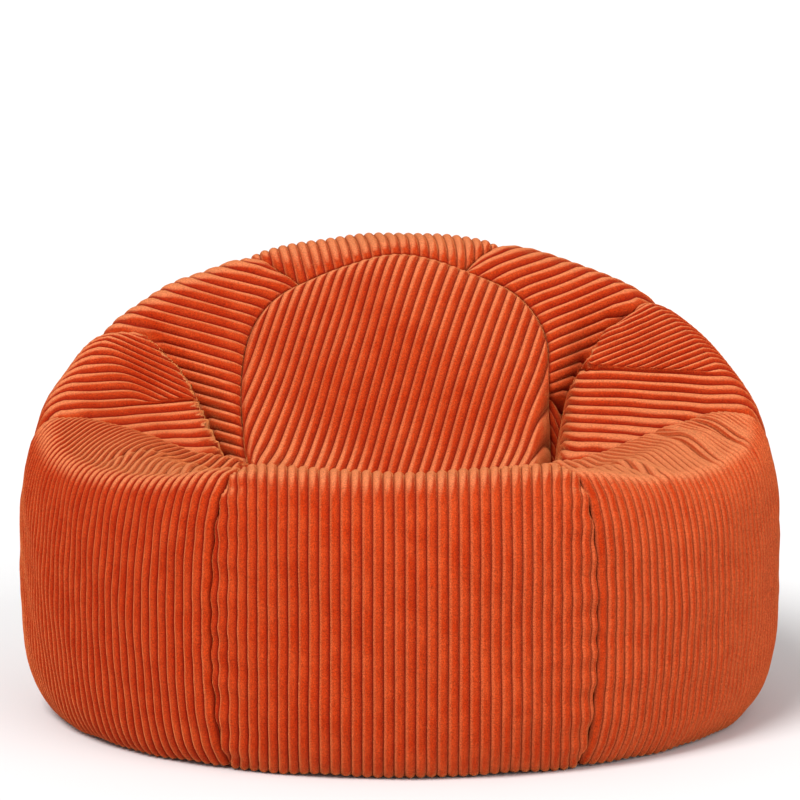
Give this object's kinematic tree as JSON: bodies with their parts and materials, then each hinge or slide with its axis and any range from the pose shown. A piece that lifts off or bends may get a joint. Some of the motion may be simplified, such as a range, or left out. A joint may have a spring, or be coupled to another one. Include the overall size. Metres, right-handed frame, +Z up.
{
  "type": "bean bag chair",
  "caption": "round cord bean bag chair with a sitter's hollow, raised back, round seat panel and a zip at the lower back; a soft seat for one person",
  "frame": {"origin": "on the floor, at the middle of the chair's plan", "axes": "+Z up, the sitter faces -Y, +X is to the right of someone looking at the chair's front"},
  "size_m": [0.8493, 0.85, 0.4873],
  "materials": {
    "cord_cloth": "matte",
    "base_cloth": "matte",
    "liner_cloth": "matte",
    "foam_beads": "matte",
    "zip_tape": "matte",
    "zip_coil": "satin",
    "zip_metal": "satin",
    "label_tape": "matte"
  },
  "bodies": {
    "root": {"front_wall_panel": "cord_cloth", "front_left_wall_panel": "cord_cloth", "left_wall_panel": "cord_cloth", "back_left_wall_panel": "cord_cloth", "back_wall_panel": "cord_cloth", "back_right_wall_panel": "cord_cloth", "right_wall_panel": "cord_cloth", "front_right_wall_panel": "cord_cloth", "seat_panel": "cord_cloth", "base_panel": "base_cloth", "inner_liner": "liner_cloth", "liner_closure": "liner_cloth", "bead_fill": "foam_beads", "zip_tape_upper": "zip_tape", "zip_tape_lower": "zip_tape", "zip_coil_upper": "zip_coil", "zip_coil_lower": "zip_coil", "zip_stop_closed_end": "zip_metal", "zip_stop_open_end": "zip_metal", "zip_garage": "zip_tape", "care_label": "label_tape"},
    "slider": {"zip_slider": "zip_metal"}
  },
  "joints": [
    {"name": "zip_slider_travel", "type": "hinge", "parent": "root", "child": "slider", "pos_m": [0, 0, 0.0511], "axis": [0, 0, 1], "range_deg": [-44.7, 0]}
  ]
}
